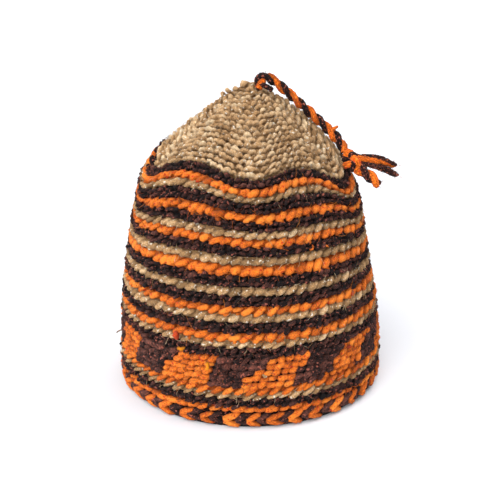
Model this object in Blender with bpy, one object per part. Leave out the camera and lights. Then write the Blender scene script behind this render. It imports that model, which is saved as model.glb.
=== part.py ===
"""Knit hat worked in rounds from chunky handspun wool, with a twisted cord at its tip.

The wall is one thick fabric, modelled as four stacked solids: the edging, the check band,
the striped side and the crown. Every solid takes its points from one wall surface, which is
set by a distance up the wall from the rim, a bearing round the hat and a depth into the wool.
Bearing 0 is the front of the hat (-Y) and a quarter turn is its right side (+X).
"""

import math

import bmesh
import bpy
from mathutils import Vector

# Overall form, in metres
HAT_HEIGHT = 0.206
HAT_RADIUS = 0.0911
WALL = 0.0048
FABRIC_GAP = 0.00045

# The crown's corners, and how far the hat has slumped
CORNER_DROOP = 0.0116
CORNER_SHARPNESS = 1.6
FACE_FLATNESS = 0.130
LEAN = 0.0028
SIDE_SHIFT = 0.0018
CORNER_TWIST = 6.0
# Bearing of each corner in degrees, from the front one round to the right, and how far it
# droops, as a share of CORNER_DROOP
CORNER_COLUMNS = ("bearing", "droop")
CORNERS = (
    (0.0, 0.38),
    (63.0, 1.00),
    (121.0, 0.90),
    (178.0, 0.75),
    (236.0, 0.85),
    (289.0, 0.95),
)

# Height of one row of stitches, by yarn
ROW_HEIGHT = {
    "orange": 0.0050,
    "beige": 0.0050,
    "brown": 0.0035,
    "check": 0.0040,
    "chain": 0.0026,
}
CROWN_ROUND = 0.0044
ROW_RELIEF = 0.0011

# Edging of fat loops round the rim
EDGING_HEIGHT = 0.0125
EDGING_LOOPS = 38
LOOP_RELIEF = 0.0012
LOOP_LIFT = 0.0016
REST_STRIP = 0.0020

# Cord, and the knot with loose yarn ends that finishes it
CORD_DIAMETER = 0.0060
KNOT_LENGTH = 0.0150
KNOT_WIDTH = 0.0104
KNOT_GAP = 0.0003
LOCK_DIAMETER = 0.0046
LOCK_TIP_SHARE = 0.65

# Fineness of the solids
WALL_SIDES = 36
SAMPLES_PER_SPAN = 12
SAMPLES_PER_LOOP = 4
BAND_INNER_STEP = 0.015
SIDE_INNER_STEP = 0.014
CROWN_INNER_STEP = 0.010
CORD_POINTS_PER_SPAN = 3
LOCK_POINTS_PER_SPAN = 4
LOCK_SIDES = 8

WOOL_COLOURS = {
    "beige": (0.42, 0.27, 0.12),
    "orange": (0.83, 0.19, 0.02),
    "brown": (0.06, 0.025, 0.02),
}

# Sections of the wall from the rim to the tip, as shares: height of HAT_HEIGHT, radius of
# HAT_RADIUS, droop of CORNER_DROOP, flat of FACE_FLATNESS, lean of LEAN, shift to the left of
# SIDE_SHIFT, and twist of CORNER_TWIST.
SECTION_COLUMNS = ("height", "radius", "droop", "flat", "lean", "shift", "twist")
SECTIONS = (
    (0.000, 0.972, 0.00, 0.00, 0.00, 0.00, 1.20),
    (0.030, 0.992, 0.00, 0.00, 0.00, 0.00, 1.20),
    (0.085, 1.000, 0.00, 0.00, 0.00, 0.00, 1.20),
    (0.150, 0.991, 0.00, 0.00, 0.05, 0.00, 1.20),
    (0.290, 0.968, 0.00, 0.03, 0.15, 0.40, 1.20),
    (0.437, 0.917, 0.04, 0.08, 0.40, 0.90, 1.20),
    (0.558, 0.878, 0.15, 0.20, 0.70, 1.00, 1.20),
    (0.650, 0.849, 0.42, 0.40, 1.05, 0.80, 1.00),
    (0.718, 0.821, 0.80, 0.70, 1.15, 0.70, 0.50),
    (0.768, 0.771, 1.00, 0.95, 1.05, 0.00, 0.00),
    (0.806, 0.683, 0.95, 1.00, 0.85, -0.50, 0.00),
    (0.855, 0.545, 0.75, 0.95, 0.55, -0.90, 0.00),
    (0.913, 0.358, 0.45, 0.80, 0.15, -1.00, 0.00),
    (0.955, 0.200, 0.20, 0.50, 0.00, -0.40, 0.00),
    (0.978, 0.088, 0.00, 0.00, 0.00, 0.00, 0.00),
    (0.990, 0.050, 0.00, 0.00, 0.00, 0.00, 0.00),
    (1.000, 0.022, 0.00, 0.00, 0.00, 0.00, 0.00),
)

# Stripes from the edging up: row, number of rows, and fullness as a share of the row's height
STRIPE_COLUMNS = ("row", "rows", "fullness")
BAND_STRIPES = (
    ("chain", 1, 1.00),
    ("brown", 2, 0.92),
    ("beige", 1, 0.72),
    ("orange", 1, 0.80),
    ("check", 1, 1.00),
    ("check", 1, 1.00),
    ("check", 1, 1.00),
    ("check", 1, 1.00),
    ("check", 1, 1.00),
    ("brown", 2, 0.93),
)
SIDE_STRIPES = (
    ("beige", 1, 0.85),
    ("orange", 1, 1.00),
    ("brown", 2, 1.00),
    ("beige", 1, 1.10),
    ("orange", 1, 0.92),
    ("brown", 2, 1.00),
    ("beige", 1, 1.05),
    ("brown", 2, 1.05),
    ("orange", 1, 1.30),
    ("beige", 1, 1.12),
    ("brown", 2, 0.95),
    ("orange", 1, 0.98),
    ("beige", 1, 1.00),
    ("brown", 2, 0.90),
    ("orange", 1, 1.10),
    ("brown", 2, 1.10),
    ("beige", 1, 0.95),
    ("orange", 1, 1.05),
    ("brown", 2, 0.95),
)
ROW_COLOUR = {"orange": "orange", "beige": "beige", "brown": "brown", "check": "brown", "chain": "orange"}

# Route of the cord's centre line, from beside the tip down the right of the crown
CORD_ROUTE = (
    (0.0062, -0.0066, 0.2031),
    (0.0062, -0.0060, 0.2068),
    (0.0087, -0.0053, 0.2096),
    (0.0127, -0.0049, 0.2089),
    (0.0168, -0.0045, 0.2061),
    (0.0210, -0.0043, 0.2024),
    (0.0258, -0.0043, 0.1982),
    (0.0304, -0.0044, 0.1943),
    (0.0352, -0.0045, 0.1901),
    (0.0401, -0.0047, 0.1857),
    (0.0448, -0.0054, 0.1815),
    (0.0492, -0.0062, 0.1775),
    (0.0534, -0.0076, 0.1736),
    (0.0573, -0.0098, 0.1698),
    (0.0604, -0.0128, 0.1660),
    (0.0627, -0.0170, 0.1625),
)

# Loose yarn ends: root, middle and tip of each, measured from the knot's centre
LOCKS = (
    ((0.0014, 0.0000, 0.0026), (0.0166, -0.0010, 0.0036), (0.0293, 0.0000, -0.0031)),
    ((0.0018, -0.0006, 0.0000), (0.0190, -0.0025, -0.0036), (0.0303, -0.0020, -0.0092)),
    ((0.0010, -0.0020, -0.0016), (0.0110, -0.0060, -0.0080), (0.0176, -0.0075, -0.0142)),
)


def smooth_points(points, steps):
    """Points along a smooth curve through the given ones, with a number of steps in each span."""
    vectors = [Vector(point) for point in points]
    padded = [vectors[0] * 2 - vectors[1], *vectors, vectors[-1] * 2 - vectors[-2]]
    curve = []
    for before, start, end, after in zip(padded, padded[1:], padded[2:], padded[3:]):
        for step in range(steps):
            t = step / steps
            slope = (end - before) * t
            bend = (before * 2 - start * 5 + end * 4 - after) * t ** 2
            swing = (start * 3 - before - end * 3 + after) * t ** 3
            curve.append((start * 2 + slope + bend + swing) / 2)
    curve.append(vectors[-1])
    return curve


def wall_samples():
    """Closely spaced sections of the wall, each with its distance up from the rim and its normal."""
    samples = []
    for values in smooth_points(SECTIONS, SAMPLES_PER_SPAN):
        section = dict(zip(SECTION_COLUMNS, values))
        section["height"] *= HAT_HEIGHT
        section["radius"] *= HAT_RADIUS
        section["arc"] = 0.0
        if samples:
            last = samples[-1]
            rise = section["height"] - last["height"]
            section["arc"] = last["arc"] + math.hypot(rise, section["radius"] - last["radius"])
        samples.append(section)
    for number, section in enumerate(samples):
        below = samples[max(number - 1, 0)]
        above = samples[min(number + 1, len(samples) - 1)]
        rise = above["height"] - below["height"]
        narrowing = below["radius"] - above["radius"]
        section["normal_out"] = rise / math.hypot(rise, narrowing)
        section["normal_up"] = narrowing / math.hypot(rise, narrowing)
    return samples


SAMPLES = wall_samples()
WALL_LENGTH = SAMPLES[-1]["arc"]


def section_at(arc):
    """The wall's section at a distance up from the rim."""
    upper = 1
    while upper < len(SAMPLES) - 1 and SAMPLES[upper]["arc"] < arc:
        upper += 1
    low, high = SAMPLES[upper - 1], SAMPLES[upper]
    share = (arc - low["arc"]) / (high["arc"] - low["arc"])
    return {key: low[key] + (high[key] - low[key]) * share for key in low}


def corner_at(bearing):
    """How near a bearing in degrees is to a corner (0 to 1), and the droop of that corner."""
    first = CORNERS[0][0]
    bearing = first + (bearing - first) % 360
    number = max(place for place, corner in enumerate(CORNERS) if corner[0] <= bearing)
    start, start_droop = CORNERS[number]
    end, end_droop = CORNERS[(number + 1) % len(CORNERS)]
    share = (bearing - start) / ((end - start) % 360)
    return (1 + math.cos(share * math.tau)) / 2, start_droop if share < 0.5 else end_droop


def wall_point(arc, bearing, depth):
    """A point of the wall at a depth below its outer surface."""
    section = section_at(arc)
    corner, droop = corner_at(math.degrees(bearing) - CORNER_TWIST * section["twist"])
    radius = section["radius"] * (1 - FACE_FLATNESS * section["flat"] * (1 - corner))
    radius -= depth * section["normal_out"]
    height = section["height"] - depth * section["normal_up"]
    height -= CORNER_DROOP * section["droop"] * droop * corner ** CORNER_SHARPNESS
    height -= LEAN * section["lean"] * math.sin(bearing)
    right = radius * math.sin(bearing) - SIDE_SHIFT * section["shift"]
    return Vector((right, -radius * math.cos(bearing), height))


def wool_material(yarn):
    """A matt wool material in one yarn's colour, made once."""
    name = yarn + "_wool"
    material = bpy.data.materials.get(name)
    if material is None:
        material = bpy.data.materials.new(name)
        material.use_nodes = True
        shader = material.node_tree.nodes["Principled BSDF"]
        shader.inputs["Base Color"].default_value = (*WOOL_COLOURS[yarn], 1.0)
        shader.inputs["Roughness"].default_value = 0.95
        shader.inputs["Metallic"].default_value = 0.0
        material.diffuse_color = (*WOOL_COLOURS[yarn], 1.0)
    return material


def add_object(name, data, yarns):
    """Put a mesh or curve in the scene under a name, with a material for each yarn."""
    for yarn in yarns:
        data.materials.append(wool_material(yarn))
    thing = bpy.data.objects.new(name, data)
    bpy.context.scene.collection.objects.link(thing)
    return thing


def mesh_object(name, shape, yarns):
    """Turn a finished bmesh into an object with triangular faces that point out."""
    bmesh.ops.recalc_face_normals(shape, faces=shape.faces)
    bmesh.ops.triangulate(shape, faces=shape.faces)
    mesh = bpy.data.meshes.new(name)
    shape.to_mesh(mesh)
    shape.free()
    return add_object(name, mesh, yarns)


def extruded_loop(shape, edges):
    """Extrude an open loop of edges, and give the new loop's edges and the new faces."""
    grown = bmesh.ops.extrude_edge_only(shape, edges=edges)["geom"]
    faces = [part for part in grown if isinstance(part, bmesh.types.BMFace)]
    new_edges = [part for part in grown if isinstance(part, bmesh.types.BMEdge)]
    return [edge for edge in new_edges if len(edge.link_faces) == 1], faces


def swept_rings(shape, sides, rings, place):
    """Extrude a circle from ring to ring. Each ring is (arc, depth, colour number)."""
    bmesh.ops.create_circle(shape, segments=sides, radius=HAT_RADIUS)
    edges = list(shape.edges)
    side_angle = math.tau / sides
    loops = []
    for number, (arc, depth, colour) in enumerate(rings):
        if number:
            edges, faces = extruded_loop(shape, edges)
            for face in faces:
                face.material_index = colour
        for vertex in {vertex for edge in edges for vertex in edge.verts}:
            # The last ring's shift turns the bearing a little, so it is rounded to a whole side
            side = round(math.atan2(vertex.co.x, -vertex.co.y) / side_angle)
            vertex.co = place(arc, side * side_angle, depth)
        loops.append(edges)
    return loops


def ribs_of(stripes):
    """A rib for each stripe: its height, and the number of its colour."""
    colours = list(WOOL_COLOURS)
    ribs = []
    for values in stripes:
        stripe = dict(zip(STRIPE_COLUMNS, values))
        height = ROW_HEIGHT[stripe["row"]] * stripe["rows"] * stripe["fullness"]
        ribs.append((height, colours.index(ROW_COLOUR[stripe["row"]])))
    return ribs


def height_of(stripes):
    """How far a stack of stripes reaches up the wall."""
    return sum(height for height, _ in ribs_of(stripes))


def outer_rings(bottom, ribs):
    """Rings of the ribbed outer face from the bottom up, half a gap clear of both neighbours."""
    rings = [(bottom + FABRIC_GAP / 2, ROW_RELIEF, ribs[0][1])]
    arc = bottom
    for height, colour in ribs:
        rings.append((arc + height / 2, 0.0, colour))
        rings.append((arc + height, ROW_RELIEF, colour))
        arc += height
    rings[-1] = (arc - FABRIC_GAP / 2, ROW_RELIEF, ribs[-1][1])
    return rings


def inner_rings(bottom, top, step, colour):
    """Rings of the smooth inner face, evenly spaced from the top down."""
    count = round((top - bottom) / step)
    return [(top - (top - bottom) * ring / count, WALL, colour) for ring in range(count + 1)]


def build_ring(name, bottom, stripes, inner_step):
    """A ring of fabric, ribbed outside by its stripes."""
    ribs = ribs_of(stripes)
    outer = outer_rings(bottom, ribs)
    inner = inner_rings(outer[0][0], outer[-1][0], inner_step, ribs[0][1])
    shape = bmesh.new()
    loops = swept_rings(shape, WALL_SIDES, outer + inner, wall_point)
    bmesh.ops.bridge_loops(shape, edges=loops[0] + loops[-1])
    return mesh_object(name, shape, list(WOOL_COLOURS))


def build_edging(name):
    """The rim's edging: a bulge for each loop, round a flat strip that the hat rests on."""

    def scallop_point(arc, bearing, depth):
        crest = math.cos(EDGING_LOOPS * bearing)
        bulge = math.sin(math.pi * arc / EDGING_HEIGHT) if depth == 0.0 else 0.0
        point = wall_point(arc, bearing, depth - LOOP_RELIEF * crest * bulge)
        if arc == 0.0:
            point.z = LOOP_LIFT * (1 - crest) / 2 if depth == ROW_RELIEF else 0.0
        return point

    top = EDGING_HEIGHT - FABRIC_GAP / 2
    rings = [
        (0.0, WALL, 0),
        (0.0, WALL - REST_STRIP, 0),
        (0.0, ROW_RELIEF, 0),
        (EDGING_HEIGHT * 0.28, 0.0, 0),
        (EDGING_HEIGHT * 0.62, 0.0, 0),
        (top, ROW_RELIEF, 0),
        (top, WALL, 0),
    ]
    shape = bmesh.new()
    loops = swept_rings(shape, EDGING_LOOPS * SAMPLES_PER_LOOP, rings, scallop_point)
    bmesh.ops.bridge_loops(shape, edges=loops[0] + loops[-1])
    return mesh_object(name, shape, ["orange"])


def build_crown(name, bottom):
    """The beige crown: a rib for each round, closed at the tip, and hollow inside."""
    rounds = round((WALL_LENGTH - bottom) / CROWN_ROUND)
    height = (WALL_LENGTH - bottom) / rounds
    outer = outer_rings(bottom, [(height, 0)] * (rounds - 1))
    outer.append((WALL_LENGTH - height / 2, 0.0, 0))
    outer.append((WALL_LENGTH, 0.0, 0))
    inner = inner_rings(outer[0][0], WALL_LENGTH - 3 * height, CROWN_INNER_STEP, 0)
    shape = bmesh.new()
    loops = swept_rings(shape, WALL_SIDES, outer[::-1] + inner[::-1], wall_point)
    for loop in (loops[0], loops[-1]):
        bmesh.ops.holes_fill(shape, edges=loop, sides=WALL_SIDES)
    return mesh_object(name, shape, ["beige"])


def build_cord(name):
    """The twisted cord as a plain tube along its route."""
    curve = bpy.data.curves.new(name, "CURVE")
    curve.dimensions = "3D"
    curve.bevel_depth = CORD_DIAMETER / 2
    curve.bevel_resolution = 2
    curve.use_fill_caps = True
    points = smooth_points(CORD_ROUTE, CORD_POINTS_PER_SPAN)
    spline = curve.splines.new("POLY")
    spline.points.add(len(points) - 1)
    for place, point in zip(spline.points, points):
        place.co = (*point, 1.0)
    return add_object(name, curve, ["orange"])


def build_lock(name, route):
    """One loose yarn end: a tube that thins from its root to its tip."""
    points = smooth_points(route, LOCK_POINTS_PER_SPAN)
    shape = bmesh.new()
    bmesh.ops.create_circle(shape, segments=LOCK_SIDES, radius=LOCK_DIAMETER / 2, cap_ends=True)
    edges = list(shape.edges)
    centre = Vector((0, 0, 0))
    heading = Vector((0, 0, 1))
    thickness = 1.0
    for number, point in enumerate(points):
        if number:
            edges, _ = extruded_loop(shape, edges)
        ahead = points[min(number + 1, len(points) - 1)] - points[max(number - 1, 0)]
        turn = heading.rotation_difference(ahead)
        wanted = 1 - (1 - LOCK_TIP_SHARE) * number / (len(points) - 1)
        for vertex in {vertex for edge in edges for vertex in edge.verts}:
            offset = (vertex.co - centre) * (wanted / thickness)
            offset.rotate(turn)
            vertex.co = point + offset
        centre, heading, thickness = point, ahead, wanted
    bmesh.ops.holes_fill(shape, edges=edges, sides=LOCK_SIDES)
    return mesh_object(name, shape, ["orange"])


def build_tassel(name):
    """The end knot with its loose yarn ends, fused into one solid."""
    cord_end = Vector(CORD_ROUTE[-1])
    along = (cord_end - Vector(CORD_ROUTE[-2])).normalized()
    centre = cord_end + along * (KNOT_LENGTH / 2 + KNOT_GAP)

    knot = bmesh.new()
    bmesh.ops.create_uvsphere(knot, u_segments=14, v_segments=9, radius=0.5)
    bmesh.ops.scale(knot, verts=knot.verts, vec=(KNOT_WIDTH, KNOT_WIDTH, KNOT_LENGTH))
    turn = along.to_track_quat("Z", "Y").to_matrix()
    bmesh.ops.rotate(knot, verts=knot.verts, matrix=turn)
    tassel = mesh_object(name, knot, ["orange"])
    tassel.location = centre
    for number, route in enumerate(LOCKS):
        lock = build_lock(f"lock_{number}", route)
        lock.location = centre
        lock.hide_render = True
        lock.display_type = "WIRE"
        union = tassel.modifiers.new(lock.name, "BOOLEAN")
        union.operation = "UNION"
        union.object = lock
    return tassel


def main():
    for thing in list(bpy.data.objects):
        bpy.data.objects.remove(thing)

    build_edging("edging")
    side_bottom = EDGING_HEIGHT + height_of(BAND_STRIPES)
    build_ring("check_band", EDGING_HEIGHT, BAND_STRIPES, BAND_INNER_STEP)
    build_ring("striped_side", side_bottom, SIDE_STRIPES, SIDE_INNER_STEP)
    build_crown("crown", side_bottom + height_of(SIDE_STRIPES))
    build_cord("cord")
    build_tassel("tassel")


main()
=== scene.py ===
"""Knit hat in striped handspun wool: its stitches, cord, yarn ends and loose fibres.

Run as a script. Each piece has its own operator, and main() calls them in order. The stitches
are plump lobes of yarn laid on the wall surface that the CAD model has: a distance up the wall
from the rim, a bearing round the hat (0 at the front, a quarter turn at its right) and a depth.
"""

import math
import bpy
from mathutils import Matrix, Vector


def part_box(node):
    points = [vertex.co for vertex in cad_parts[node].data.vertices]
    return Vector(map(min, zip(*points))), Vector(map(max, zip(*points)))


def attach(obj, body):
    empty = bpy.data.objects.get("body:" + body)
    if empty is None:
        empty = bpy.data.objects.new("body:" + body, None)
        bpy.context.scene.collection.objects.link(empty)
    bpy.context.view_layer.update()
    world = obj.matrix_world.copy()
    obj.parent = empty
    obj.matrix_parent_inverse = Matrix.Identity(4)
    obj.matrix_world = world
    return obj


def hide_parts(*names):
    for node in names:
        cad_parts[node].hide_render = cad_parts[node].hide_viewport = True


bl_info = {
    "name": "Knit Hat",
    "version": (1, 0, 0),
    "blender": (4, 5, 0),
    "location": "View3D > Sidebar > Knit Hat",
    "description": "Builds a striped wool hat stitch by stitch, with a twisted cord and a studio",
    "category": "Object",
}

import bmesh
import bpy
import numpy as np
from mathutils import Matrix, Vector

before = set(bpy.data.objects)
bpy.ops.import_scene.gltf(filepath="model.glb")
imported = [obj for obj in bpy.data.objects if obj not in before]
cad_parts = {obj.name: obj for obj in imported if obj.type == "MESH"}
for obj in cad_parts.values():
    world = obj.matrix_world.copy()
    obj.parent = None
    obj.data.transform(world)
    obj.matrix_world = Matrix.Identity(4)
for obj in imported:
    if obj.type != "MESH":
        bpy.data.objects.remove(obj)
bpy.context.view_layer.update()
RIM_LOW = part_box("edging")[0]
CROWN_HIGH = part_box("crown")[1]

# The three yarns of the rows, and the material slot of each node
YARNS = ("orange", "beige", "brown")

# Sections of the wall from the rim to the tip, as shares: height of the hat's height, radius of
# its radius, droop of the corner droop, flat of the face flatness, lean of the lean, shift to
# the left of the side shift, and twist of the corner twist.
SECTION_COLUMNS = ("height", "radius", "droop", "flat", "lean", "shift", "twist")
SECTIONS = (
    (0.000, 0.972, 0.00, 0.00, 0.00, 0.00, 1.20),
    (0.030, 0.992, 0.00, 0.00, 0.00, 0.00, 1.20),
    (0.085, 1.000, 0.00, 0.00, 0.00, 0.00, 1.20),
    (0.150, 0.991, 0.00, 0.00, 0.05, 0.00, 1.20),
    (0.290, 0.968, 0.00, 0.03, 0.15, 0.40, 1.20),
    (0.437, 0.917, 0.04, 0.08, 0.40, 0.90, 1.20),
    (0.558, 0.878, 0.15, 0.20, 0.70, 1.00, 1.20),
    (0.650, 0.849, 0.42, 0.40, 1.05, 0.80, 1.00),
    (0.718, 0.821, 0.80, 0.70, 1.15, 0.70, 0.50),
    (0.768, 0.771, 1.00, 0.95, 1.05, 0.00, 0.00),
    (0.806, 0.683, 0.95, 1.00, 0.85, -0.50, 0.00),
    (0.855, 0.545, 0.75, 0.95, 0.55, -0.90, 0.00),
    (0.913, 0.358, 0.45, 0.80, 0.15, -1.00, 0.00),
    (0.955, 0.200, 0.20, 0.50, 0.00, -0.40, 0.00),
    (0.978, 0.088, 0.00, 0.00, 0.00, 0.00, 0.00),
    (0.990, 0.050, 0.00, 0.00, 0.00, 0.00, 0.00),
    (1.000, 0.022, 0.00, 0.00, 0.00, 0.00, 0.00),
)
SAMPLES_PER_SPAN = 12

CORNER_DROOP = 0.0116
CORNER_SHARPNESS = 1.6
FACE_FLATNESS = 0.130
LEAN = 0.0028
SIDE_SHIFT = 0.0018
CORNER_TWIST = 6.0
# Bearing of each corner in degrees, and its share of the corner droop
CORNERS = (
    (0.0, 0.38),
    (63.0, 1.00),
    (121.0, 0.90),
    (178.0, 0.75),
    (236.0, 0.85),
    (289.0, 0.95),
)

# Height of one row of stitches, by yarn
ROW_HEIGHT = {
    "orange": 0.0050,
    "beige": 0.0050,
    "brown": 0.0035,
    "check": 0.0040,
    "chain": 0.0026,
}
CROWN_ROUND = 0.0044
EDGING_HEIGHT = 0.0125
EDGING_LOOPS = 38

# Stripes from the edging up: row, number of rows, and fullness as a share of the row's height
BAND_STRIPES = (
    ("chain", 1, 1.00),
    ("brown", 2, 0.92),
    ("beige", 1, 0.72),
    ("orange", 1, 0.80),
    ("check", 5, 1.00),
    ("brown", 2, 0.93),
)
SIDE_STRIPES = (
    ("beige", 1, 0.85),
    ("orange", 1, 1.00),
    ("brown", 2, 1.00),
    ("beige", 1, 1.10),
    ("orange", 1, 0.92),
    ("brown", 2, 1.00),
    ("beige", 1, 1.05),
    ("brown", 2, 1.05),
    ("orange", 1, 1.30),
    ("beige", 1, 1.12),
    ("brown", 2, 0.95),
    ("orange", 1, 0.98),
    ("beige", 1, 1.00),
    ("brown", 2, 0.90),
    ("orange", 1, 1.10),
    ("brown", 2, 1.10),
    ("beige", 1, 0.95),
    ("orange", 1, 1.05),
    ("brown", 2, 0.95),
)

# Orange blocks of the check band: bearings in degrees of their edges in the lowest row and in
# the highest row. The blocks lean to the right.
BLOCK_COLUMNS = ("low_left", "low_right", "high_left", "high_right")
BLOCKS = (
    (-76, -56, -70, -51),
    (-39, -18, -32, -13),
    (-4, 17, 8, 25),
    (33, 50, 43, 64),
    (72, 89, 79, 97),
    (108, 125, 115, 133),
    (143, 161, 151, 169),
    (179, 197, 187, 205),
    (215, 233, 223, 240),
    (250, 268, 258, 275),
)

# How the stitches of each row lie: number as a share of a full round's, length as a share of
# the pitch, width as a share of the row's height, lean in degrees, droop of the ends in mm, how
# deep the right end is tucked under its neighbour in mm, how light they are, and how uneven
# they are
STITCH_COLUMNS = ("number", "length", "width", "lean", "arch", "tuck", "shade", "unevenness")
STITCHES = {
    "orange": (1.00, 1.45, 0.86, 26, 0.1, 1.0, 0.55, 1.9),
    "beige": (1.00, 1.42, 0.78, 22, 0.1, 1.0, 0.00, 1.6),
    "brown": (1.50, 1.20, 0.78, 20, 0.5, 0.5, 0.25, 2.9),
    "check": (1.40, 1.50, 1.08, 18, 0.2, 0.6, 0.55, 2.2),
    "chain": (1.05, 1.35, 1.40, 12, 0.1, 0.6, 0.45, 2.4),
    "crown": (1.00, 1.08, 0.70, 9, 2.2, 0.4, 0.55, 2.4),
}
# Half the depth of a stitch, how far its middle lies below the wall's surface, and how much
# deeper its two ends lie
STITCH_HALF_DEPTH = 0.0019
STITCH_DEPTH = 0.0013
STITCH_END_DEPTH = 0.0007
# How far the stitches of an unevenness of 1 stray: metres up and out, shares of the distance
# from stitch to stitch, of their length and of their thickness, and degrees of lean
STRAY_PLACE = 0.00018
STRAY_ALONG = 0.045
STRAY_LENGTH = 0.05
STRAY_THICKNESS = 0.06
STRAY_LEAN = 4.0
SHADE_SPREAD = 0.30
# Sides, rings and fullness of the lobes that the wool is made of
STITCH_LOBE = (8, 7, 3.0)
LOOP_LOBE = (8, 13, 4.0)
SPOT_LOBE = (8, 9, 2.2)
FIBRE_LOBE = (3, 4, 8.0)
# Share of the stitches that show a small loop below them
UNDER_LOOPS = 0.45
# Roughness of a yarn's surface: how far its points wander
RAGGEDNESS = 0.00019
# Painted shade: the wool is painted darker in the hollows between stitches, at their ends and on
# the fabric behind them, where shade falls
PAINTED_HOLLOW_SHADE = 0.32
PAINTED_END_SHADE = 0.20
PAINTED_FABRIC_SHADE = -0.6

# Depths of the fabric behind the middle of a row and between two rows, how much the rows and
# the columns of the purled inner face stand out, and the depth past which they show
FABRIC_CREST = 0.0022
FABRIC_HOLLOW = 0.0030
PURL_ROWS = 0.0006
PURL_COLUMNS = 0.0004
PURL_DEPTH = 0.004

# The edging's fat loops, the orange ones and then the brown ones: how far they are moved round
# the rim, in loops, how high they rise, their depth, and their distance up the wall
LOOP_COLUMNS = ("offset", "rise", "deep", "arc")
LOOPS = (
    (0.0, 0.0050, 0.0003, 0.0062),
    (0.5, 0.0042, 0.0010, 0.0068),
)
LOOP_REACH = 0.0120
LOOP_THICKNESS = 0.0021
# Lowest points of the loops, which the floor presses flat, and of the loose fibres
LOOPS_LOWEST = 0.0012
FIBRES_LOWEST = 0.0003

# Route of the cord's centre line, from beside the tip down the right of the crown
CORD_ROUTE = (
    (0.0062, -0.0066, 0.2031),
    (0.0062, -0.0060, 0.2068),
    (0.0087, -0.0053, 0.2096),
    (0.0127, -0.0049, 0.2089),
    (0.0168, -0.0045, 0.2061),
    (0.0210, -0.0043, 0.2024),
    (0.0258, -0.0043, 0.1982),
    (0.0304, -0.0044, 0.1943),
    (0.0352, -0.0045, 0.1901),
    (0.0401, -0.0047, 0.1857),
    (0.0448, -0.0054, 0.1815),
    (0.0492, -0.0062, 0.1775),
    (0.0534, -0.0076, 0.1736),
    (0.0573, -0.0098, 0.1698),
    (0.0604, -0.0128, 0.1660),
    (0.0627, -0.0170, 0.1625),
)
# A short yarn end that stands out of the cord's right side
CORD_STUB = (
    (0.0520, -0.0068, 0.1746),
    (0.0545, -0.0078, 0.1760),
    (0.0572, -0.0084, 0.1780),
)
# A brown yarn that is sewn down beside the cord's root
CORD_ROOT = (
    (0.0040, -0.0078, 0.2036),
    (0.0080, -0.0084, 0.2048),
    (0.0112, -0.0078, 0.2036),
    (0.0142, -0.0066, 0.2012),
)
KNOT_LENGTH = 0.0150
KNOT_WIDTH = 0.0104
KNOT_GAP = 0.0003
KNOT_YARN = 0.0024
# How far inside the knot's length and width the middle of its yarn runs
KNOT_INSET_ALONG = 0.0012
KNOT_INSET_ACROSS = 0.0010
# Each yarn's radius and distance from the cord's middle line, as shares of the cord's diameter
CORD_YARN = 0.33
CORD_SPREAD = 0.25
# How far from the cord's middle line its loose fibres start
CORD_FIBRE_START = 0.0019

# Small uneven spots in the wool: bearing in degrees, distance up the wall, length, width, how
# far it stands out, lean in degrees, and yarn
SPOT_COLUMNS = ("bearing", "arc", "length", "width", "lift", "lean", "yarn")
SPOTS = (
    (-31.0, 0.0592, 0.0058, 0.0046, 0.0019, 100.0, "red"),
    (-29.0, 0.0505, 0.0060, 0.0026, 0.0009, 10.0, "yellow"),
    (6.0, 0.0375, 0.0034, 0.0016, 0.0014, -20.0, "beige"),
    (-17.0, 0.0420, 0.0070, 0.0032, 0.0010, 80.0, "yellow"),
    (31.0, 0.1160, 0.0042, 0.0014, 0.0014, 50.0, "orange"),
    (39.0, 0.1155, 0.0050, 0.0013, 0.0016, -35.0, "orange"),
    (-40.0, 0.2408, 0.0062, 0.0040, 0.0030, 60.0, "beige"),
    (-75.0, 0.2350, 0.0050, 0.0030, 0.0020, 20.0, "beige"),
    (-92.0, 0.2290, 0.0052, 0.0028, 0.0030, 40.0, "beige"),
    (-97.0, 0.2240, 0.0046, 0.0026, 0.0026, -30.0, "beige"),
    (46.0, 0.0450, 0.0032, 0.0020, 0.0014, 15.0, "red"),
    (52.0, 0.0790, 0.0050, 0.0018, 0.0012, 12.0, "red"),
    (-160.0, 0.1010, 0.0044, 0.0024, 0.0010, 30.0, "yellow"),
    (118.0, 0.0560, 0.0040, 0.0024, 0.0010, 70.0, "red"),
    (203.0, 0.0640, 0.0036, 0.0018, 0.0012, -15.0, "beige"),
)
SPOT_SHADE = 0.6
# A stray hair that stands out of the left side: root, middle and tip
STRAY_HAIR = (
    (-0.0868, -0.0080, 0.0330),
    (-0.0905, -0.0100, 0.0330),
    (-0.0935, -0.0115, 0.0318),
)

# Loose yarn ends, measured from the knot's centre: root, middle and tip
LOCKS = (
    ((0.0014, 0.0000, 0.0026), (0.0166, -0.0010, 0.0018), (0.0293, 0.0000, -0.0031)),
    ((0.0018, -0.0006, 0.0000), (0.0190, -0.0025, -0.0036), (0.0303, -0.0020, -0.0092)),
    ((0.0010, -0.0020, -0.0016), (0.0110, -0.0060, -0.0080), (0.0176, -0.0075, -0.0142)),
)
# Their thickness at the root and near the tip, and how the last points narrow
LOCK_TAPER = (1.25, 0.95)
LOCK_TIP = (0.9, 0.65, 0.3)
# How the two yarns of each end are twisted: length of a turn, distance from the middle line and
# start in degrees, then the radius, shade and material of each yarn
LOCK_TWISTS = (
    (0.075, 0.0012, 100.0, ((0.0018, -0.1, 0), (0.0013, 0.2, 1))),
    (0.050, 0.0008, 20.0, ((0.0015, 0.2, 1), (0.0013, 0.3, 1))),
    (0.017, 0.0015, 60.0, ((0.0023, -0.1, 0), (0.0022, 0.2, 1))),
)


def unit(vectors):
    """A vector, or each row of vectors, made one long."""
    return vectors / np.linalg.norm(vectors, axis=-1, keepdims=True)


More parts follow.
